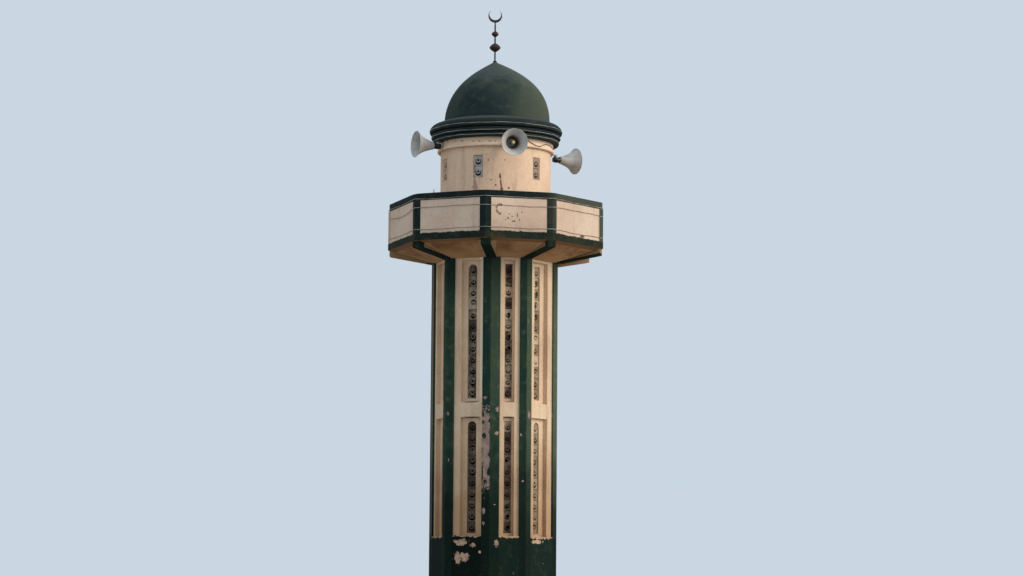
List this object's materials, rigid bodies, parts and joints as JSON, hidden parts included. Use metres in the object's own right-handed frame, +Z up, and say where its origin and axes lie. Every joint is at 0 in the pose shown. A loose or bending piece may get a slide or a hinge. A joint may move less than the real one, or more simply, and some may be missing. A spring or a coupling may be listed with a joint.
{
  "type": "octagonal minaret with gallery and dome",
  "caption": "Octagonal concrete minaret with corner pilasters, screened slots, a railed gallery, a round drum, a pointed dome, a crescent finial and loudspeaker horns.",
  "frame": {"origin": "at ground level on the tower's axis, the centre of the gallery's plan", "axes": "+Z up along the tower; the pictured side faces -Y; X runs to the picture's right"},
  "size_m": [4.3379, 4.3378, 13.2807],
  "materials": {
    "green_paint": "green limewash paint on concrete, worn and stained",
    "dome_paint": "green paint on a cement-rendered dome, weathered",
    "cream_render": "cream painted cement render, dusty and stained; the dado below is painted green",
    "deck_concrete": "cream-brown painted concrete soffit, stained",
    "door_steel": "green-grey paint on sheet steel, worn",
    "finial_steel": "dark painted steel with rust",
    "horn_enamel": "pale grey enamel, dusty, with a black driver housing",
    "bracket_steel": "dark painted steel",
    "string_cable": "pale plastic cable, dusty"
  },
  "bodies": {
    "root": {"pilaster_1": "green_paint", "wall_1": "cream_render", "pilaster_2": "green_paint", "wall_2": "cream_render", "pilaster_3": "green_paint", "wall_3": "cream_render", "pilaster_4": "green_paint", "wall_4": "cream_render", "pilaster_5": "green_paint", "wall_5": "cream_render", "pilaster_6": "green_paint", "wall_6": "cream_render", "pilaster_7": "green_paint", "wall_7": "cream_render", "pilaster_8": "green_paint", "wall_8": "cream_render", "wall_6_upper": "cream_render", "base_door": "door_steel", "gallery_deck": "deck_concrete", "gallery_edge_beam": "green_paint", "parapet_post_1": "green_paint", "parapet_post_2": "green_paint", "parapet_post_3": "green_paint", "parapet_post_4": "green_paint", "parapet_post_5": "green_paint", "parapet_post_6": "green_paint", "parapet_post_7": "green_paint", "parapet_post_8": "green_paint", "parapet_panel_1": "cream_render", "parapet_panel_2": "cream_render", "parapet_panel_3": "cream_render", "parapet_panel_4": "cream_render", "parapet_panel_5": "cream_render", "parapet_panel_6": "cream_render", "parapet_panel_7": "cream_render", "parapet_panel_8": "cream_render", "parapet_coping": "green_paint", "drum_wall_1": "cream_render", "drum_wall_2": "cream_render", "drum_wall_3": "cream_render", "drum_wall_4": "cream_render", "drum_wall_5": "cream_render", "drum_wall_6": "cream_render", "gallery_door": "door_steel", "neck_band": "cream_render", "cornice": "green_paint", "dome": "dome_paint", "finial": "finial_steel", "crescent": "finial_steel", "horn_1": "horn_enamel", "horn_2": "horn_enamel", "horn_3": "horn_enamel", "horn_4": "horn_enamel", "horn_bracket_1": "bracket_steel", "horn_bracket_2": "bracket_steel", "horn_bracket_3": "bracket_steel", "horn_bracket_4": "bracket_steel", "light_string_gallery": "string_cable", "light_string_cornice": "string_cable"}
  },
  "joints": []
}
